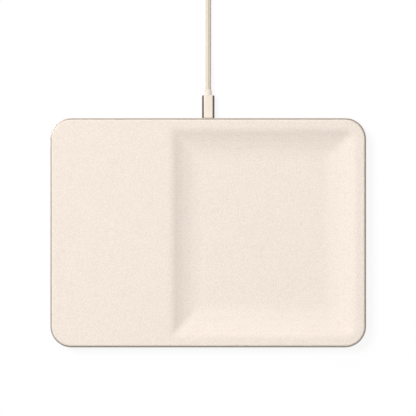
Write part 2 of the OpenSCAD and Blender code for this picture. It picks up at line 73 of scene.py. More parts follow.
def length(name, description, default):
    return FloatProperty(
        name=name, description=description, default=default, min=0, unit="LENGTH", precision=5
    )


def colour(name, description, hex_colour):
    return FloatVectorProperty(
        name=name,
        description=description,
        default=linear(hex_colour),
        size=4,
        min=0,
        max=1,
        subtype="COLOR",
    )


class TraySizes(bpy.types.PropertyGroup):
    """Sizes of the leather that covers the tray"""

    corner_radius: length("Corner radius", "Outside radius of the tray's corners", 16.4 * MM)
    edge_radius: length("Edge radius", "Radius of the leather's top edge", 1.2 * MM)
    leather: length("Leather", "Thickness of the leather", 1 * MM)
    pad_width: length("Pad width", "Width of the charging pad, up to the recess", 91.7 * MM)
    band_width: length("Band width", "Width of the flat band round the recess", 6.25 * MM)
    recess_depth: length("Recess depth", "Depth of the valet recess", 6 * MM)
    outer_run: length("Outer run", "Length of the recess's outer walls, crest to floor", 29 * MM)
    pad_run: length("Pad run", "Length of the recess's wall beside the pad", 26.4 * MM)
    crest_radius: length("Crest radius", "Radius over the crest of the recess's walls", 13 * MM)
    pad_corner: length("Pad corner", "Radius of the recess's corners beside the pad", 3.2 * MM)
    fold_radius: length("Fold radius", "Radius that the outer corners close to on the way down", 3 * MM)
    dimple_width: length("Dimple width", "Width of a dimple in the pad's middle", 3.6 * MM)
    dimple_pitch: length("Dimple pitch", "Distance from one dimple to the next", 7.2 * MM)
    dimple_depth: length("Dimple depth", "Depth of the dimples", 0.1 * MM)
    rim_wall: length("Rim wall", "Thickness of the metal rim's wall", 1.2 * MM)
    rim_bead: length("Rim bead", "Radius of the rim's rounded top edges", 0.5 * MM)
    ledge_width: length("Ledge width", "Width of the rim's inner ledge", 2.2 * MM)
    ledge_low: length("Ledge foot", "Height of the ledge's underside", 2.6 * MM)
    ledge_high: length("Ledge top", "Height of the ledge's top", 3.8 * MM)
    port_gap: length("Port gap", "Gap round the charging socket", 0.15 * MM)


class CableSizes(bpy.types.PropertyGroup):
    """Sizes of the cable"""

    diameter: length("Diameter", "Diameter of the cord", 4.3 * MM)
    turn_radius: length("Turn radius", "Radius at the middle of the coil's turns", 25.5 * MM)
    turn_pitch: length("Turn pitch", "Distance from one turn of the coil to the next", 4.8 * MM)
    turns: FloatProperty(name="Turns", description="Turns in the coil, in two layers", default=10.25, min=1)
    side_radius: length("Side radius", "Radius of the plug housing's long edges", 2.4 * MM)
    end_radius: length("End radius", "Radius of the plug housing's end edges", 0.8 * MM)
    strap: length("Strap", "Thickness of the strap round the coil", 0.6 * MM)


class Finishes(bpy.types.PropertyGroup):
    """Colours of the visible materials"""

    leather: colour("Leather", "Bone leather", "#F3E8DD")
    # Painted shade: a darker bone that stands for the shade in the creases of the grain
    crease_shade: colour("Crease", "Bone leather in the creases of its grain", "#E0D1C2")
    rim: colour("Rim", "Warm grey anodised aluminium of the rim", "#B4AAA0")
    # Painted reflection: the sides' dark grey stands in for the dark surroundings that the plugs' rounded
    # sides reflect
    plug: colour("Plug", "Warm grey anodised aluminium of the plugs' sides", "#6E655E")
    plug_face: colour("Plug face", "Bone lacquer on the plugs' faces", "#EFE3D5")
    collar: colour("Collar", "Bone rubber of the strain reliefs", "#F0E4D7")
    braid: colour("Braid", "Bone yarn of the cord's jacket", "#EBDFD1")
    braid_gap: colour("Braid gap", "Shade between the jacket's yarns", "#C9BCAD")
    strap: colour("Strap", "Sand hook-and-loop strap", "#D8CAB8")
    moulding: colour("Moulding", "Warm grey moulded plastic", "#CFC6BA")
    mat: colour("Mat", "Warm grey silicone foot mat", "#A79C8E")


class StageSettings(bpy.types.PropertyGroup):
    """Camera and light"""

    distance: length("Distance", "Height of the camera above the rim", 3.0)
    field: length("Field", "Width that the camera sees at the height of the rim", 322.8 * MM)
    aim_x: FloatProperty(
        name="Aim X", description="Place of the picture's middle", default=-0.2 * MM, unit="LENGTH"
    )
    aim_y: FloatProperty(
        name="Aim Y", description="Place of the picture's middle", default=19.2 * MM, unit="LENGTH"
    )
    key_power: FloatProperty(
        name="Key", description="Power of the softbox at the upper left", default=52.0, unit="POWER"
    )
    sky: FloatProperty(name="Sky", description="Strength of the even light from above", default=1.0, min=0)


# Working on pieces

def deselect():
    if bpy.context.object and bpy.context.object.mode != "OBJECT":
        bpy.ops.object.mode_set(mode="OBJECT")
    bpy.ops.object.select_all(action="DESELECT")


def start_piece(name, primitive, **options):
    """Adds a primitive, puts its place into its mesh and leaves it open in edit mode."""
    deselect()
    primitive(**options)
    piece = bpy.context.object
    piece.name = name
    piece.data.name = name
    bpy.ops.object.transform_apply(location=True, rotation=True, scale=True)
    bpy.ops.object.mode_set(mode="EDIT")
    return piece


def open_mesh(piece):
    """The mesh of a piece in edit mode, with its elements counted anew."""
    mesh = bmesh.from_edit_mesh(piece.data)
    mesh.verts.index_update()
    mesh.faces.index_update()
    return mesh


def pick(piece, kind, test):
    """Selects the vertices, edges or faces of an open piece that pass a test."""
    bpy.ops.mesh.select_mode(type=kind)
    bpy.ops.mesh.select_all(action="DESELECT")
    mesh = open_mesh(piece)
    for element in {"VERT": mesh.verts, "EDGE": mesh.edges, "FACE": mesh.faces}[kind]:
        if test(element):
            element.select_set(True)
    mesh.select_flush_mode()
    bmesh.update_edit_mesh(piece.data)


def middle(element):
    """Middle of an edge or a face."""
    return sum((v.co for v in element.verts), Vector()) / len(element.verts)


def runs_along(edge, axis):
    """Whether an edge runs along an axis, 0 to 2."""
    way = edge.verts[1].co - edge.verts[0].co
    return abs(way[axis]) > 0.999 * way.length


def apply_modifier(piece, kind, **settings):
    """Adds a modifier and applies it."""
    deselect()
    bpy.context.view_layer.objects.active = piece
    piece.select_set(True)
    modifier = piece.modifiers.new(kind, kind)
    for name, value in settings.items():
        setattr(modifier, name, value)
    bpy.ops.object.modifier_apply(modifier=modifier.name)


def carve(piece, cutter):
    """Takes a closed cutter out of a closed piece, and removes the cutter."""
    bpy.ops.object.mode_set(mode="OBJECT")
    apply_modifier(piece, "BOOLEAN", operation="DIFFERENCE", solver="EXACT", object=cutter)
    bpy.data.objects.remove(cutter)


def bar(name, low, high, along=2, radius=0.0):
    """A bar between two corners, open in edit mode, its edges along one axis rounded."""
    low, high = Vector(low), Vector(high)
    piece = start_piece(
        name, bpy.ops.mesh.primitive_cube_add, size=1, location=(low + high) / 2, scale=high - low
    )
    if radius:
        pick(piece, "EDGE", lambda edge: runs_along(edge, along))
        bpy.ops.mesh.bevel(offset=radius, segments=12, affect="EDGES")
    return piece


def finish_piece(piece, body, material, nodes, smooth=30):
    """Smooths a piece, gives it its material and its body, and hides the solids that it stands for."""
    deselect()
    bpy.context.view_layer.objects.active = piece
    piece.select_set(True)
    bpy.ops.object.shade_smooth_by_angle(angle=math.radians(smooth))
    deselect()
    piece.data.materials.clear()
    piece.data.materials.append(material)
    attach(piece, body)
    if nodes:
        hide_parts(*nodes)
    return piece


# Leather cover

Ring = namedtuple("Ring", "x0 x1 y1 z left_r right_r")


def corner(ring, side_x, side_y):
    """Centre and radius of one corner of a ring."""
    r = ring.left_r if side_x < 0 else ring.right_r
    x = ring.x0 + r if side_x < 0 else ring.x1 - r
    return Vector((x, side_y * (ring.y1 - r), ring.z)), r


def cap(piece):
    """Index and corners of the face that closes the rings, which has more corners than any other."""
    mesh = open_mesh(piece)
    face = max(mesh.faces, key=lambda face: len(face.verts))
    return face.index, {v.index for v in face.verts}


def extrude_to(piece, old, new):
    """Extrudes the cap and gives each of its four corners its new place and radius."""
    chosen, _ = cap(piece)
    pick(piece, "FACE", lambda face: face.index == chosen)
    bpy.ops.mesh.extrude_region_move(TRANSFORM_OT_translate={"value": (0, 0, new.z - old.z)})
    split = (old.x0 + old.x1) / 2
    for side_x in (-1, 1):
        for side_y in (-1, 1):
            _, ring = cap(piece)
            pick(
                piece,
                "VERT",
                lambda v: v.index in ring and (v.co.x - split) * side_x > 0 and v.co.y * side_y > 0,
            )
            centre, radius = corner(old._replace(z=new.z), side_x, side_y)
            aim, aim_radius = corner(new, side_x, side_y)
            scale = aim_radius / radius
            bpy.ops.transform.resize(value=(scale, scale, 1), center_override=centre)
            bpy.ops.transform.translate(value=aim - centre)


class Wall:
    """The curve of a recess wall: a crest that rolls over, then a foot that levels out."""

    def __init__(self, run, depth, crest_radius):
        self.run = run
        self.depth = depth
        self.crest_radius = crest_radius
        self.steepest = 2 * math.atan(depth / run)
        self.foot_radius = run / math.sin(self.steepest) - crest_radius

    def drop(self, along):
        """Drop at a distance in from the crest."""
        if along < self.crest_radius * math.sin(self.steepest):
            return self.crest_radius * (1 - math.cos(math.asin(along / self.crest_radius)))
        foot_angle = math.asin((self.run - along) / self.foot_radius)
        return self.depth - self.foot_radius * (1 - math.cos(foot_angle))

    def along(self, drop):
        """Distance in from the crest at a drop."""
        if drop < self.crest_radius * (1 - math.cos(self.steepest)):
            return self.crest_radius * math.sin(math.acos(1 - drop / self.crest_radius))
        return self.run - self.foot_radius * math.sin(math.acos(1 - (self.depth - drop) / self.foot_radius))

    def steps(self, crest_steps, foot_steps):
        """Distances in from the crest, at even turns of the surface."""
        for i in range(1, crest_steps + 1):
            yield self.crest_radius * math.sin(self.steepest * i / crest_steps)
        for i in range(1, foot_steps + 1):
            yield self.run - self.foot_radius * math.sin(self.steepest * (1 - i / foot_steps))


def soft_max(a, b, softness):
    """The larger of two values, with the change from one to the other rounded."""
    return (a + b + math.sqrt((a - b) ** 2 + softness**2)) / 2


def leather_rings(sizes, low, high):
    """The leather's outlines, from its foot up, over the top and down into the recess."""
    rim_low, rim_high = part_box("metal_rim")
    inset = low.x - rim_low.x
    outer_r = sizes.corner_radius - inset
    foot = Ring(low.x, high.x, high.y, high.z - sizes.edge_radius, outer_r, outer_r)
    yield foot

    edge_steps = 10
    for i in range(1, edge_steps + 1):
        turn = math.radians(90) * i / edge_steps
        roll = sizes.edge_radius * (1 - math.cos(turn))
        z = foot.z + sizes.edge_radius * math.sin(turn)
        yield Ring(low.x + roll, high.x - roll, high.y - roll, z, outer_r - roll, outer_r - roll)

    flat = sizes.edge_radius + 0.5 * MM
    yield Ring(low.x + flat, high.x - flat, high.y - flat, high.z, outer_r - flat, outer_r - flat)

    x0 = rim_low.x + sizes.pad_width
    x1 = rim_high.x - sizes.band_width
    y1 = rim_high.y - sizes.band_width
    crest_r = sizes.corner_radius - sizes.band_width
    for out in (0.6 * MM, 0):
        yield Ring(x0 - out, x1 + out, y1 + out, high.z, sizes.pad_corner + out, crest_r + out)

    outer = Wall(sizes.outer_run, sizes.recess_depth, sizes.crest_radius)
    beside_pad = Wall(sizes.pad_run, sizes.recess_depth, sizes.crest_radius)
    for along in outer.steps(7, 18):
        drop = outer.drop(along)
        right_r = soft_max(crest_r - along, sizes.fold_radius, 1.5 * MM)
        yield Ring(
            x0 + beside_pad.along(drop), x1 - along, y1 - along, high.z - drop, sizes.pad_corner, right_r
        )
    floor = 1 * MM
    yield Ring(
        x0 + sizes.pad_run + floor,
        x1 - sizes.outer_run - floor,
        y1 - sizes.outer_run - floor,
        high.z - sizes.recess_depth,
        sizes.pad_corner,
        sizes.fold_radius,
    )


def dimple_places(sizes):
    """Middles of the three dimples, in line over the middle coil."""
    low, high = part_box("coil_middle")
    for i in (-1, 0, 1):
        yield (low.x + high.x) / 2, (low.y + high.y) / 2 + i * sizes.dimple_pitch


def make_leather_cover(sizes, material):
    low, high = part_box("leather_cover")
    rings = list(leather_rings(sizes, low, high))
    foot = rings[0]
    cover = bar("leather_wrap", low, (high.x, high.y, foot.z), radius=foot.left_r)
    pick(cover, "FACE", lambda face: face.normal.z < -0.9)
    bpy.ops.mesh.delete(type="FACE")
    for old, new in zip(rings, rings[1:]):
        extrude_to(cover, old, new)
    bpy.ops.mesh.select_all(action="SELECT")
    bpy.ops.mesh.normals_make_consistent(inside=False)
    bpy.ops.object.mode_set(mode="OBJECT")
    apply_modifier(cover, "SOLIDIFY", thickness=sizes.leather, offset=-1, use_even_offset=True)

    for x, y in dimple_places(sizes):
        cutter = start_piece(
            "cutter",
            bpy.ops.mesh.primitive_cylinder_add,
            vertices=40,
            radius=sizes.dimple_width / 2,
            depth=2 * sizes.dimple_depth,
            location=(x, y, high.z),
        )
        carve(cover, cutter)
    # The notch in the back wall lets the socket through
    port_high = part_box("port_shell")[1]
    side = port_high.x + SOCKET_ROOM
    depth = 3 * MM
    cutter = bar(
        "cutter",
        (-side, high.y - depth, low.z - PAST),
        (side, high.y + depth, port_high.z + SOCKET_ROOM),
    )
    carve(cover, cutter)
    finish_piece(cover, "tray", material, ["leather_cover"], smooth=12)


# Metal rim

def make_rim(sizes, material):
    """The rim: a band with a rounded top, an inner ledge and an oval window for the socket."""
    low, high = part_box("metal_rim")
    rim = bar("rim_band", low, high, radius=sizes.corner_radius)
    pick(rim, "FACE", lambda face: abs(face.normal.z) > 0.9)
    bpy.ops.mesh.inset(thickness=sizes.rim_wall)
    bpy.ops.mesh.bridge_edge_loops()
    for z, radius, steps in ((high.z, sizes.rim_bead, 5), (low.z, sizes.rim_bead / 2, 2)):
        pick(
            rim,
            "EDGE",
            lambda edge: abs(middle(edge).z - z) < 0.01 * MM
            and sum(abs(face.normal.z) > 0.9 for face in edge.link_faces) == 1,
        )
        bpy.ops.mesh.bevel(offset=radius, segments=steps, affect="EDGES")
    for z in (sizes.ledge_low, sizes.ledge_high):
        bpy.ops.mesh.select_all(action="SELECT")
        bpy.ops.mesh.bisect(plane_co=(0, 0, z), plane_no=(0, 0, 1))
    pick(
        rim,
        "FACE",
        lambda face: (
            sizes.ledge_low < middle(face).z < sizes.ledge_high and face.normal.dot(middle(face)) < 0
        ),
    )
    bpy.ops.mesh.extrude_region_shrink_fatten(
        TRANSFORM_OT_shrink_fatten={"value": sizes.ledge_width, "use_even_offset": True}
    )
    # The window goes through the back wall, and the ledge makes room for the socket
    port_low, port_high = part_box("port_shell")
    gap = Vector((sizes.port_gap, 0, sizes.port_gap))
    inside = high.y - sizes.rim_wall - sizes.ledge_width
    window_low = Vector((port_low.x, inside - PAST, port_low.z)) - gap
    window_high = Vector((port_high.x, high.y + PAST, port_high.z)) + gap
    oval = (window_high.z - window_low.z) / 2 - HAIR
    carve(rim, bar("cutter", window_low, window_high, along=1, radius=oval))
    side = port_high.x + SOCKET_ROOM
    over = 0.1 * MM
    room_low = (-side, inside - PAST, sizes.ledge_low - over)
    room_high = (side, high.y - sizes.rim_wall, sizes.ledge_high + over)
    carve(rim, bar("cutter", room_low, room_high))
    finish_piece(rim, "tray", material, ["metal_rim"])


# Cable

def coil_line(sizes, start, base_z):
    """The coil's line: it spirals in on the surface, climbs a layer and spirals out again."""
    layer = sizes.turns / 2
    turn_out = sizes.turn_radius + sizes.turn_pitch * layer / 2
    turn_in = sizes.turn_radius - sizes.turn_pitch * layer / 2
    per_turn = 16
    for i in range(round(sizes.turns * per_turn) + 1):
        s = i / per_turn
        if s < layer:
            radius = turn_out - sizes.turn_pitch * s
        else:
            radius = turn_in + sizes.turn_pitch * (s - layer)
        climb = min(max(2 * (s - layer) + 0.5, 0), 1)
        rise = sizes.turn_pitch * (1 - math.cos(math.pi * climb)) / 2
        angle = 2 * math.pi * s
        yield (
            start[0] + turn_out - radius * math.cos(angle),
            start[1] + radius * math.sin(angle),
            base_z + rise,
        )


def cord_points(sizes):
    """The cord's whole way, from the near plug's collar to the far one's."""
    collar_low, collar_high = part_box("plug_collar")
    far_low, far_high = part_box("far_plug_collar")
    coil_low, coil_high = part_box("cord_coil")
    port_z = (collar_low.z + collar_high.z) / 2
    coil_z = 3.0 * MM
    run_l = 115 * MM
    run = [
        (0, port_z), (4 * MM, port_z), (9 * MM, 4.4 * MM), (15 * MM, 4 * MM), (21 * MM, 3.4 * MM),
        (28 * MM, 2.8 * MM), (36 * MM, 2.3 * MM), (45 * MM, 2.2 * MM), (54 * MM, 2.2 * MM),
        (63 * MM, 2.2 * MM), (72 * MM, 2.2 * MM), (81 * MM, 2.3 * MM), (90 * MM, 2.6 * MM),
        (99 * MM, 2.9 * MM), (run_l - 2 * sizes.diameter, coil_z), (run_l - sizes.diameter, coil_z),
    ]
    for y, z in run:
        yield (0, collar_high.y + y, z)

    turns = list(coil_line(sizes, (0, collar_high.y + run_l), coil_z))
    yield from turns

    x, y, z = turns[-1]
    far_z = (far_low.z + far_high.z) / 2
    tail = [
        (0, z), (4 * MM, z), (10 * MM, 7.1 * MM), (16 * MM, 6 * MM), (22 * MM, 4.7 * MM),
        (28 * MM, 3.5 * MM), (34 * MM, 2.7 * MM), (40 * MM, 2.6 * MM), (46 * MM, far_z), (51.2 * MM, far_z),
    ]
    for along, height in tail:
        yield (x + sizes.diameter + along, y, height)


def make_cord(points, sizes, material):
    curve = bpy.data.curves.new("cord", "CURVE")
    curve.dimensions = "3D"
    curve.bevel_depth = sizes.diameter / 2
    curve.bevel_resolution = 5
    curve.resolution_u = 3
    curve.use_fill_caps = True
    spline = curve.splines.new("BEZIER")
    spline.bezier_points.add(len(points) - 1)
    for knot, point in zip(spline.bezier_points, points):
        knot.co = point
        knot.handle_left_type = "AUTO"
        knot.handle_right_type = "AUTO"
    curve.materials.append(material)
    cord = bpy.data.objects.new("cord", curve)
    bpy.context.scene.collection.objects.link(cord)
    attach(cord, "cable")
    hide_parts("cord_run", "cord_coil", "cord_tail")
    return cord


def make_housing(name, node, along, sizes, metal, lacquer):
    """A plug's housing: a metal bar with rounded long edges and soft ends, and lacquered flat faces. The
    metal's dark grey on the rounded sides is painted reflection of dark surroundings.
    """
    tip_end_radius = 0.35 * MM
    # A facet that leans less than this to the side is lacquered like the flat face
    face_lean = 0.36
    low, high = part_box(node)
    housing = bar(name, low, high, along=along, radius=sizes.side_radius)
    for side, radius in ((low[along], tip_end_radius), (high[along], sizes.end_radius)):
        if node == "far_plug_body":
            side = low[along] + high[along] - side
        pick(housing, "EDGE", lambda edge: all(abs(v.co[along] - side) < HAIR for v in edge.verts))
        bpy.ops.mesh.bevel(offset=radius, segments=5, affect="EDGES")
    bpy.ops.object.mode_set(mode="OBJECT")
    finish_piece(housing, "cable", metal, [node])
    housing.data.materials.append(lacquer)
    across = 1 - along
    # The rounded sides get the dark metal, a painted reflection; the flat faces get the lacquer
    for face in housing.data.polygons:
        face.material_index = int(abs(face.normal[across]) < face_lean)
    return housing


def make_strap(sizes, material):
    """The strap: a flat band with rounded turns, closed round the coil."""
    turn_radius = 2.2 * MM
    edge_radius = 0.15 * MM
    low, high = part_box("cord_tie")
    strap = bar("coil_strap", low, high)
    pick(strap, "FACE", lambda face: abs(face.normal.y) > 0.9)
    bpy.ops.mesh.delete(type="ONLY_FACE")
    pick(strap, "EDGE", lambda edge: runs_along(edge, 1))
    bpy.ops.mesh.bevel(offset=turn_radius, segments=8, affect="EDGES")
    bpy.ops.object.mode_set(mode="OBJECT")
    apply_modifier(strap, "SOLIDIFY", thickness=sizes.strap, offset=-1, use_even_offset=True)
    apply_modifier(
        strap, "BEVEL", width=edge_radius, segments=2, limit_method="ANGLE", angle_limit=math.radians(60)
    )
    return finish_piece(strap, "cable", material, ["cord_tie"])


# Materials

def add_node(tree, kind, inputs=None, **settings):
    """Adds a node, sets its settings, and sets or links its inputs."""
    node = tree.nodes.new(kind)
    for name, value in settings.items():
        setattr(node, name, value)
    for key, value in (inputs or {}).items():
        if isinstance(value, bpy.types.NodeSocket):
            tree.links.new(value, node.inputs[key])
        else:
            node.inputs[key].default_value = value
    return node


def new_material(name, **surface):
    """A material with a Principled surface, its node tree, the surface node and Object coordinates."""
    material = bpy.data.materials.new(name)
    material.use_nodes = True
    tree = material.node_tree
    tree.nodes.clear()
    shader = add_node(tree, "ShaderNodeBsdfPrincipled", surface)
    add_node(tree, "ShaderNodeOutputMaterial", {"Surface": shader.outputs[0]})
    place = add_node(tree, "ShaderNodeTexCoord")
    return material, tree, shader, place


def per_mm(spacing):
    """Texture scale for a pattern that repeats at this spacing in millimetres."""
    return 1 / (spacing * MM)


def pebbled_leather(finishes, sizes):
    """Pigmented calf leather, embossed with a fine pebble: soft, dull, with painted shade in the creases of
    its grain.
    """
    material, tree, shader, place = new_material(
        "pebbled_calf_leather", Roughness=0.62, **{"Specular IOR Level": 0.35}
    )
    point = place.outputs["Object"]
    # The grain leans: its pebbles are longer along one diagonal of the tray
    leaning = add_node(
        tree, "ShaderNodeMapping",
        {"Vector": point, "Rotation": (0, 0, math.radians(45)), "Scale": (1.3, 0.7, 1.0)},
    )
    pebble = add_node(
        tree, "ShaderNodeTexVoronoi",
        {"Vector": leaning.outputs[0], "Scale": per_mm(1.5), "Randomness": 0.85},
        feature="DISTANCE_TO_EDGE",
    )
    fine = add_node(tree, "ShaderNodeTexNoise", {"Vector": point, "Scale": per_mm(0.9), "Detail": 3.0})
    cloud = add_node(tree, "ShaderNodeTexNoise", {"Vector": point, "Scale": per_mm(14), "Detail": 2.0})
    # Painted shade: the leather turns darker towards its pebbles' edges, in the creases between them
    crease_shade = add_node(
        tree, "ShaderNodeMapRange",
        {
            "Value": pebble.outputs["Distance"],
            "From Min": 0.0,
            "From Max": 0.22,
            "To Min": 0.55,
            "To Max": 0.0,
        },
    )
    uneven = add_node(
        tree, "ShaderNodeMapRange",
        {"Value": cloud.outputs["Fac"], "From Min": 0.3, "From Max": 0.7, "To Min": 0.0, "To Max": 0.06},
    )
    # The painted crease shade, plus a tone that differs at random over the leather
    shade_and_tone = add_node(
        tree, "ShaderNodeMath", {0: crease_shade.outputs[0], 1: uneven.outputs[0]}, operation="ADD"
    )
    # The dimples are pressed with a smooth stamp: inside them the painted crease shade and the random tone
    # are halved, so they look lighter
    shade_and_tone_left = 0.5
    stamped_shade_and_tone = shade_and_tone
    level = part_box("leather_cover")[1].z
    for x, y in dimple_places(sizes):
        away = add_node(tree, "ShaderNodeVectorMath", {0: point, 1: (x, y, level)}, operation="DISTANCE")
        outside = add_node(
            tree, "ShaderNodeMath",
            {0: away.outputs["Value"], 1: sizes.dimple_width / 2}, operation="GREATER_THAN",
        )
        left = add_node(
            tree, "ShaderNodeMath", {0: outside.outputs[0], 1: shade_and_tone_left}, operation="MAXIMUM"
        )
        stamped_shade_and_tone = add_node(
            tree, "ShaderNodeMath", {0: stamped_shade_and_tone.outputs[0], 1: left.outputs[0]}, operation="MULTIPLY"
        )
    shade_and_tone = stamped_shade_and_tone
    tone = add_node(
        tree, "ShaderNodeMix",
        {0: shade_and_tone.outputs[0], 6: finishes.leather, 7: finishes.crease_shade}, data_type="RGBA",
    )
    height = add_node(
        tree, "ShaderNodeMath", {0: fine.outputs["Fac"], 1: 0.5, 2: pebble.outputs["Distance"]},
        operation="MULTIPLY_ADD",
    )
    bump = add_node(
        tree, "ShaderNodeBump", {"Strength": 0.35, "Distance": 0.14 * MM, "Height": height.outputs[0]}
    )
    tree.links.new(tone.outputs[2], shader.inputs["Base Color"])
    tree.links.new(bump.outputs[0], shader.inputs["Normal"])
    return material


def anodised_aluminium(name, tint, roughness, blast, metallic=1.0):
    """Bead-blasted and anodised aluminium: metallic, its sheen broken by a fine grit. A dark dye scatters
    part of the light, so it is less metallic."""
    material, tree, shader, place = new_material(name, Metallic=metallic, Roughness=roughness)
    shader.inputs["Base Color"].default_value = tint
    grit = add_node(
        tree, "ShaderNodeTexNoise",
        {"Vector": place.outputs["Object"], "Scale": per_mm(blast), "Detail": 2.0},
    )
    rough = add_node(
        tree, "ShaderNodeMapRange",
        {"Value": grit.outputs["Fac"], "To Min": roughness - 0.06, "To Max": roughness + 0.06},
    )
    bump = add_node(
        tree, "ShaderNodeBump", {"Strength": 0.12, "Distance": 0.02 * MM, "Height": grit.outputs["Fac"]}
    )
    tree.links.new(rough.outputs[0], shader.inputs["Roughness"])
    tree.links.new(bump.outputs[0], shader.inputs["Normal"])
    return material


def moulded(name, tint, roughness, grain, depth):
    """Injection-moulded plastic or rubber: dull, with the fine texture of its mould."""
    material, tree, shader, place = new_material(name, Roughness=roughness)
    spark = add_node(
        tree, "ShaderNodeTexNoise",
        {"Vector": place.outputs["Object"], "Scale": per_mm(grain), "Detail": 2.0},
    )
    deeper = tuple(c * 0.9 for c in tint[:3]) + (1.0,)
    tone = add_node(
        tree, "ShaderNodeMix", {0: spark.outputs["Fac"], 6: tint, 7: deeper}, data_type="RGBA"
    )
    bump = add_node(
        tree, "ShaderNodeBump", {"Strength": 0.3, "Distance": depth * MM, "Height": spark.outputs["Fac"]}
    )
    tree.links.new(tone.outputs[2], shader.inputs["Base Color"])
    tree.links.new(bump.outputs[0], shader.inputs["Normal"])
    return material


def braided_jacket(finishes, cord_length, diameter):
    """Braided polyester yarn over the cord: two sets of yarns that cross, dull, darker between them."""
    material, tree, shader, place = new_material("braided_polyester", Roughness=0.8)
    yarn = 0.9
    around = round(math.pi * diameter / (yarn * MM))
    lengthways = round(cord_length / (yarn * MM))
    spread = add_node(
        tree, "ShaderNodeMapping", {"Vector": place.outputs["UV"], "Scale": (lengthways, around, 1)}
    )
    split = add_node(tree, "ShaderNodeSeparateXYZ", {0: spread.outputs[0]})
    waves = []
    for sign in (1, -1):
        lean = add_node(
            tree, "ShaderNodeMath", {0: split.outputs[1], 1: float(sign), 2: split.outputs[0]},
            operation="MULTIPLY_ADD",
        )
        wave = add_node(tree, "ShaderNodeMath", {0: lean.outputs[0], 1: 0.5}, operation="PINGPONG")
        waves.append(wave.outputs[0])
    height = add_node(tree, "ShaderNodeMath", {0: waves[0], 1: waves[1]}, operation="MULTIPLY")
    gap = add_node(
        tree, "ShaderNodeMapRange",
        {"Value": height.outputs[0], "From Min": 0.0, "From Max": 0.12, "To Min": 0.5, "To Max": 0.0},
    )
    # Two lines of painted shade run straight along the cord, one on its top and one on its side. Their
    # places are shares of the way round it
    dark = gap
    shade_line_half_width = 0.028
    for shade_line_place in (0.19, 0.33):
        on_shade_line = add_node(
            tree, "ShaderNodeMath",
            {0: split.outputs[1], 1: around * shade_line_place, 2: around * shade_line_half_width}, operation="COMPARE",
        )
        dark = add_node(
            tree, "ShaderNodeMath", {0: dark.outputs[0], 1: on_shade_line.outputs[0]}, operation="MAXIMUM"
        )
    tone = add_node(
        tree, "ShaderNodeMix",
        {0: dark.outputs[0], 6: finishes.braid, 7: finishes.braid_gap}, data_type="RGBA",
    )
    bump = add_node(
        tree, "ShaderNodeBump", {"Strength": 0.4, "Distance": 0.3 * MM, "Height": height.outputs[0]}
    )
    tree.links.new(tone.outputs[2], shader.inputs["Base Color"])
    tree.links.new(bump.outputs[0], shader.inputs["Normal"])
    return material


def hook_and_loop(finishes):
    """Woven nylon hook-and-loop strap: a dull felt of tiny loops, with painted shade between them."""
    material, tree, shader, place = new_material("hook_and_loop_nylon", Roughness=0.9)
    loops = add_node(
        tree, "ShaderNodeTexVoronoi", {"Vector": place.outputs["Object"], "Scale": per_mm(0.5)}
    )
    # Painted shade: the strap turns darker away from its loops' middles, between the loops
    shade_between_loops = tuple(c * 0.7 for c in finishes.strap[:3]) + (1,)
    tone = add_node(
        tree, "ShaderNodeMix",
        {0: loops.outputs["Distance"], 6: finishes.strap, 7: shade_between_loops},
        data_type="RGBA",
    )
    bump = add_node(
        tree, "ShaderNodeBump",
        {"Strength": 0.6, "Distance": 0.15 * MM, "Height": loops.outputs["Distance"]},
    )
    tree.links.new(tone.outputs[2], shader.inputs["Base Color"])
    tree.links.new(bump.outputs[0], shader.inputs["Normal"])
    return material


def drawn_steel(name, tint, roughness):
    """Plated or drawn steel: metallic, with faint lines along the way that it was drawn."""
    material, tree, shader, place = new_material(name, Metallic=1.0)
    shader.inputs["Base Color"].default_value = linear(tint)
    stretch = add_node(
        tree, "ShaderNodeMapping", {"Vector": place.outputs["Object"], "Scale": (1.0, 0.08, 1.0)}
    )
    lines = add_node(
        tree, "ShaderNodeTexNoise", {"Vector": stretch.outputs[0], "Scale": per_mm(0.25), "Detail": 2.0}
    )
    rough = add_node(
        tree, "ShaderNodeMapRange",
        {"Value": lines.outputs["Fac"], "To Min": roughness - 0.1, "To Max": roughness + 0.1},
    )
    tree.links.new(rough.outputs[0], shader.inputs["Roughness"])
    return material


def wound_copper(name, node):
    """Enamelled copper wire wound flat: bright turns with dark lines between them."""
    low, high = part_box(node)
    centre = (low + high) / 2
    half = (high - low) / 2
    core = 8 * MM
    material, tree, shader, place = new_material(name, Metallic=0.9, Roughness=0.35)
    centred = add_node(
        tree, "ShaderNodeMapping",
        {"Vector": place.outputs["Object"], "Location": (-centre.x, -centre.y, 0)},
    )
    size = add_node(tree, "ShaderNodeVectorMath", {0: centred.outputs[0]}, operation="ABSOLUTE")
    past = add_node(
        tree, "ShaderNodeVectorMath",
        {0: size.outputs[0], 1: (half.x - core * 1.8, half.y - core * 1.8, 1.0)},
        operation="SUBTRACT",
    )
    outside = add_node(
        tree, "ShaderNodeVectorMath", {0: past.outputs[0], 1: (0, 0, 0)}, operation="MAXIMUM"
    )
    away = add_node(tree, "ShaderNodeVectorMath", {0: outside.outputs[0]}, operation="LENGTH")
    turns = add_node(
        tree, "ShaderNodeMath", {0: away.outputs["Value"], 1: 0.5 * MM}, operation="PINGPONG"
    )
    tone = add_node(
        tree, "ShaderNodeMapRange",
        {"Value": turns.outputs[0], "From Max": 0.2 * MM, "To Min": 0.0, "To Max": 1.0},
    )
    paint = add_node(
        tree, "ShaderNodeMix", {0: tone.outputs[0], 6: linear("#4A2412"), 7: linear("#C4774A")},
        data_type="RGBA",
    )
    tree.links.new(paint.outputs[2], shader.inputs["Base Color"])
    return material


def solder_mask():
    """Fibreglass board under green solder mask: glossy, with faint copper tracks under the lacquer."""
    material, tree, shader, place = new_material("solder_mask_board", Roughness=0.3)
    tracks = add_node(
        tree, "ShaderNodeTexBrick",
        {
            "Vector": place.outputs["Object"], "Scale": per_mm(4), "Mortar Size": 0.06,
            "Color1": linear("#1B5A38"), "Color2": linear("#1F6640"), "Mortar": linear("#35895A"),
        },
    )
    tree.links.new(tracks.outputs["Color"], shader.inputs["Base Color"])
    return material


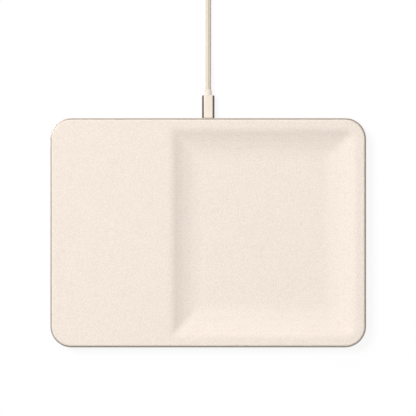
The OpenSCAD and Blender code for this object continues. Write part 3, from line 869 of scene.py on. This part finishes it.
def ceramic_capacitor(node):
    """Barium titanate ceramic with tinned ends: a matt brown middle between two bright caps."""
    low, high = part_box(node)
    material, tree, shader, place = new_material("tinned_ceramic", Roughness=0.45)
    centred = add_node(
        tree, "ShaderNodeMapping",
        {"Vector": place.outputs["Object"], "Location": (-(low.x + high.x) / 2, 0, 0)},
    )
    split = add_node(tree, "ShaderNodeSeparateXYZ", {0: centred.outputs[0]})
    away = add_node(tree, "ShaderNodeMath", {0: split.outputs[0]}, operation="ABSOLUTE")
    tinned = add_node(
        tree, "ShaderNodeMath", {0: away.outputs[0], 1: (high.x - low.x) * 0.34}, operation="GREATER_THAN"
    )
    tone = add_node(
        tree, "ShaderNodeMix", {0: tinned.outputs[0], 6: linear("#A98A63"), 7: linear("#C9C9C6")},
        data_type="RGBA",
    )
    tree.links.new(tone.outputs[2], shader.inputs["Base Color"])
    tree.links.new(tinned.outputs[0], shader.inputs["Metallic"])
    return material


def paint_node(node, material):
    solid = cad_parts[node]
    solid.data.materials.clear()
    solid.data.materials.append(material)


# Stage

def lit_floor():
    """White studio floor: it shows white to the camera and in reflections, and keeps a soft shadow."""
    material = bpy.data.materials.new("white_studio_floor")
    material.use_nodes = True
    tree = material.node_tree
    tree.nodes.clear()
    rays = add_node(tree, "ShaderNodeLightPath")
    seen = add_node(
        tree, "ShaderNodeMath",
        {0: rays.outputs["Is Camera Ray"], 1: rays.outputs["Is Glossy Ray"]}, operation="MAXIMUM",
    )
    seen = add_node(
        tree, "ShaderNodeMath",
        {0: seen.outputs[0], 1: rays.outputs["Is Transmission Ray"]}, operation="MAXIMUM",
    )
    # Its bounce light never drops below half, so that the tray's underside isn't lost in the dark
    bounce = add_node(
        tree, "ShaderNodeMath", {0: rays.outputs["Is Diffuse Ray"], 1: 0.5}, operation="MULTIPLY"
    )
    share = add_node(
        tree, "ShaderNodeMath",
        {0: seen.outputs[0], 1: 0.88, 2: bounce.outputs[0]}, operation="MULTIPLY_ADD",
    )
    paper = add_node(tree, "ShaderNodeBsdfDiffuse", {"Color": (1, 1, 1, 1)})
    glow = add_node(tree, "ShaderNodeEmission", {"Color": (1, 1, 1, 1), "Strength": 1.0})
    both = add_node(
        tree, "ShaderNodeMixShader", {0: share.outputs[0], 1: paper.outputs[0], 2: glow.outputs[0]}
    )
    # From below, the floor lets the camera see the tray's underside
    side = add_node(tree, "ShaderNodeNewGeometry")
    clear = add_node(tree, "ShaderNodeBsdfTransparent")
    surface = add_node(
        tree, "ShaderNodeMixShader",
        {0: side.outputs["Backfacing"], 1: both.outputs[0], 2: clear.outputs[0]},
    )
    add_node(tree, "ShaderNodeOutputMaterial", {"Surface": surface.outputs[0]})
    return material


def studio_sky(strength):
    """Even light from above and below that fades to dim walls, with a bright window behind the tray."""
    world = bpy.data.worlds.new("studio")
    bpy.context.scene.world = world
    world.use_nodes = True
    tree = world.node_tree
    tree.nodes.clear()
    way = add_node(tree, "ShaderNodeTexCoord")
    split = add_node(tree, "ShaderNodeSeparateXYZ", {0: way.outputs["Generated"]})
    steep = add_node(tree, "ShaderNodeMath", {0: split.outputs[2]}, operation="ABSOLUTE")
    steep = add_node(tree, "ShaderNodeMath", {0: steep.outputs[0], 1: 3.0}, operation="POWER")
    overhead = add_node(
        tree, "ShaderNodeMapRange",
        {"Value": steep.outputs[0], "From Min": 0.0, "From Max": 1.0, "To Min": 0.12, "To Max": 1.05},
    )
    window_way = Vector((-0.35, 0.9, 0.3)).normalized()
    facing = add_node(
        tree, "ShaderNodeVectorMath",
        {0: way.outputs["Generated"], 1: window_way}, operation="DOT_PRODUCT",
    )
    window = add_node(
        tree, "ShaderNodeMapRange",
        {"Value": facing.outputs["Value"], "From Min": 0.75, "From Max": 1.0, "To Min": 0.0, "To Max": 0.9},
    )
    # Metal shows the window itself, which is brighter than the light that it gives
    rays = add_node(tree, "ShaderNodeLightPath")
    glare = add_node(
        tree, "ShaderNodeMath",
        {0: rays.outputs["Is Glossy Ray"], 1: 2.5, 2: 1.0}, operation="MULTIPLY_ADD",
    )
    total = add_node(
        tree, "ShaderNodeMath", {0: window.outputs[0], 1: glare.outputs[0], 2: overhead.outputs[0]},
        operation="MULTIPLY_ADD",
    )
    level = add_node(tree, "ShaderNodeMath", {0: total.outputs[0], 1: strength}, operation="MULTIPLY")
    light = add_node(tree, "ShaderNodeBackground", {"Strength": level.outputs[0]})
    white = add_node(tree, "ShaderNodeBackground", {"Color": (1, 1, 1, 1), "Strength": 1.0})
    light.inputs["Color"].default_value = (1, 1, 1, 1)
    seen = add_node(
        tree, "ShaderNodeMixShader",
        {0: rays.outputs["Is Camera Ray"], 1: light.outputs[0], 2: white.outputs[0]},
    )
    add_node(tree, "ShaderNodeOutputWorld", {"Surface": seen.outputs[0]})


# Operators

class CHARGINGTRAY_OT_stage(bpy.types.Operator):
    """Set up the camera, the white floor and the studio light"""

    bl_idname = "charging_tray.stage"
    bl_label = "Stage"

    def execute(self, context):
        stage = context.scene.tray_stage
        rim_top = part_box("metal_rim")[1].z
        deselect()
        height = rim_top + stage.distance
        bpy.ops.object.camera_add(location=(stage.aim_x, stage.aim_y, height), rotation=(0, 0, 0))
        camera = context.object
        camera.name = "camera"
        camera.data.sensor_width = 36
        camera.data.lens = 36 * stage.distance / stage.field
        camera.data.clip_end = 20
        context.scene.camera = camera

        key_way = Vector((-0.45, 0.28, 0.85)).normalized()
        key_distance = 3
        bpy.ops.object.light_add(type="AREA", location=key_way * key_distance)
        key = context.object
        key.name = "softbox"
        key.data.shape = "DISK"
        key.data.size = 1.1
        key.data.energy = stage.key_power
        key.rotation_mode = "QUATERNION"
        key.rotation_quaternion = key_way.to_track_quat("Z", "Y")

        studio_sky(stage.sky)
        bpy.ops.mesh.primitive_circle_add(vertices=96, radius=6, fill_type="NGON", location=(0, 0, 0))
        floor = context.object
        floor.name = "studio_floor"
        floor.data.materials.append(lit_floor())
        context.scene.view_settings.view_transform = "Standard"
        return {"FINISHED"}


class CHARGINGTRAY_OT_cable(bpy.types.Operator):
    """Lay the cord through its coil, and model its strap and the housings of its two plugs"""

    bl_idname = "charging_tray.cable"
    bl_label = "Cable"

    def execute(self, context):
        sizes = context.scene.cable_sizes
        finishes = context.scene.tray_finishes
        points = list(cord_points(sizes))
        total = sum(math.dist(a, b) for a, b in zip(points, points[1:]))
        cord = make_cord(points, sizes, braided_jacket(finishes, total, sizes.diameter))
        strap = make_strap(sizes, hook_and_loop(finishes))
        # The plugs' dark grey sides are painted reflection of dark surroundings
        metal = anodised_aluminium("aluminium_with_painted_dark_reflection", tuple(finishes.plug), 0.45, 0.4, metallic=0.4)
        lacquer = moulded("satin_lacquer", tuple(finishes.plug_face), 0.4, 0.4, 0.01)
        near = make_housing("near_housing", "plug_body", 1, sizes, metal, lacquer)
        far = make_housing("far_housing", "far_plug_body", 0, sizes, metal, lacquer)
        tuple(points[0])
        return {"FINISHED"}


class CHARGINGTRAY_OT_leather(bpy.types.Operator):
    """Model the leather, from its foot on the rim over the edge and down into the recess"""

    bl_idname = "charging_tray.leather"
    bl_label = "Leather Cover"

    def execute(self, context):
        sizes = context.scene.tray_sizes
        make_leather_cover(sizes, pebbled_leather(context.scene.tray_finishes, sizes))
        return {"FINISHED"}


class CHARGINGTRAY_OT_rim(bpy.types.Operator):
    """Model the metal rim round the leather's foot"""

    bl_idname = "charging_tray.rim"
    bl_label = "Metal Rim"

    def execute(self, context):
        tint = tuple(context.scene.tray_finishes.rim)
        metal = anodised_aluminium("warm_grey_anodised_aluminium", tint, 0.3, 0.4)
        make_rim(context.scene.tray_sizes, metal)
        return {"FINISHED"}


class CHARGINGTRAY_OT_finishes(bpy.types.Operator):
    """Give every solid that stays its real material"""

    bl_idname = "charging_tray.finishes"
    bl_label = "Finishes"

    def execute(self, context):
        finishes = context.scene.tray_finishes
        abs_plastic = moulded("moulded_abs", tuple(finishes.moulding), 0.55, 0.4, 0.03)
        for node in ("tray_shell", "base_plate", "coil_holder"):
            paint_node(node, abs_plastic)
        paint_node("base_pad", moulded("silicone_rubber", tuple(finishes.mat), 0.75, 0.6, 0.05))
        collar = moulded("soft_tpe", tuple(finishes.collar), 0.6, 0.5, 0.02)
        for node in ("plug_collar", "far_plug_collar"):
            paint_node(node, collar)
        screws = drawn_steel("zinc_plated_steel", "#B4B6B8", 0.35)
        for node in ("base_screws", "holder_screws", "board_screws", "port_screws"):
            paint_node(node, screws)
        tips = drawn_steel("drawn_stainless_steel", "#C4C5C7", 0.28)
        for node in ("port_shell", "plug_tip", "far_plug_tip"):
            paint_node(node, tips)
        ferrite = moulded("sintered_ferrite", linear("#36363A"), 0.7, 0.3, 0.04)
        for node in ("ferrite_sheet", "power_inductor"):
            paint_node(node, ferrite)
        for node in ("coil_front", "coil_middle", "coil_back", "coil_leads"):
            paint_node(node, wound_copper("enamelled_copper_" + node, node))
        mask = solder_mask()
        for node in ("main_board", "port_board"):
            paint_node(node, mask)
        epoxy = moulded("moulded_epoxy", linear("#232327"), 0.5, 0.2, 0.02)
        for node in ("controller_chip", "bridge_transistors", "port_tongue"):
            paint_node(node, epoxy)
        paint_node("resonant_capacitors", ceramic_capacitor("resonant_capacitors"))
        paint_node("port_leads", moulded("pvc_insulation", linear("#A83A32"), 0.4, 0.5, 0.01))
        return {"FINISHED"}


class CHARGINGTRAY_PT_panel(bpy.types.Panel):
    """Steps that make the tray"""

    bl_idname = "CHARGINGTRAY_PT_panel"
    bl_label = "Charging Tray"
    bl_space_type = "VIEW_3D"
    bl_region_type = "UI"
    bl_category = "Charging Tray"

    def draw(self, context):
        for operator in OPERATORS:
            self.layout.operator(operator.bl_idname)
        for group in ("tray_sizes", "cable_sizes", "tray_finishes", "tray_stage"):
            box = self.layout.box()
            settings = getattr(context.scene, group)
            for name in settings.bl_rna.properties.keys():
                if name not in ("rna_type", "name"):
                    box.prop(settings, name)


GROUPS = {
    "tray_sizes": TraySizes,
    "cable_sizes": CableSizes,
    "tray_finishes": Finishes,
    "tray_stage": StageSettings,
}
OPERATORS = (
    CHARGINGTRAY_OT_stage,
    CHARGINGTRAY_OT_cable,
    CHARGINGTRAY_OT_leather,
    CHARGINGTRAY_OT_rim,
    CHARGINGTRAY_OT_finishes,
)


def register():
    for name, group in GROUPS.items():
        bpy.utils.register_class(group)
        setattr(bpy.types.Scene, name, PointerProperty(type=group))
    for cls in (*OPERATORS, CHARGINGTRAY_PT_panel):
        bpy.utils.register_class(cls)


def unregister():
    for cls in (CHARGINGTRAY_PT_panel, *reversed(OPERATORS)):
        bpy.utils.unregister_class(cls)
    for name, group in reversed(GROUPS.items()):
        delattr(bpy.types.Scene, name)
        bpy.utils.unregister_class(group)


def main():
    register()
    bpy.ops.charging_tray.stage()
    bpy.ops.charging_tray.cable()
    bpy.ops.charging_tray.leather()
    bpy.ops.charging_tray.rim()
    bpy.ops.charging_tray.finishes()


if __name__ == "__main__":
    main()
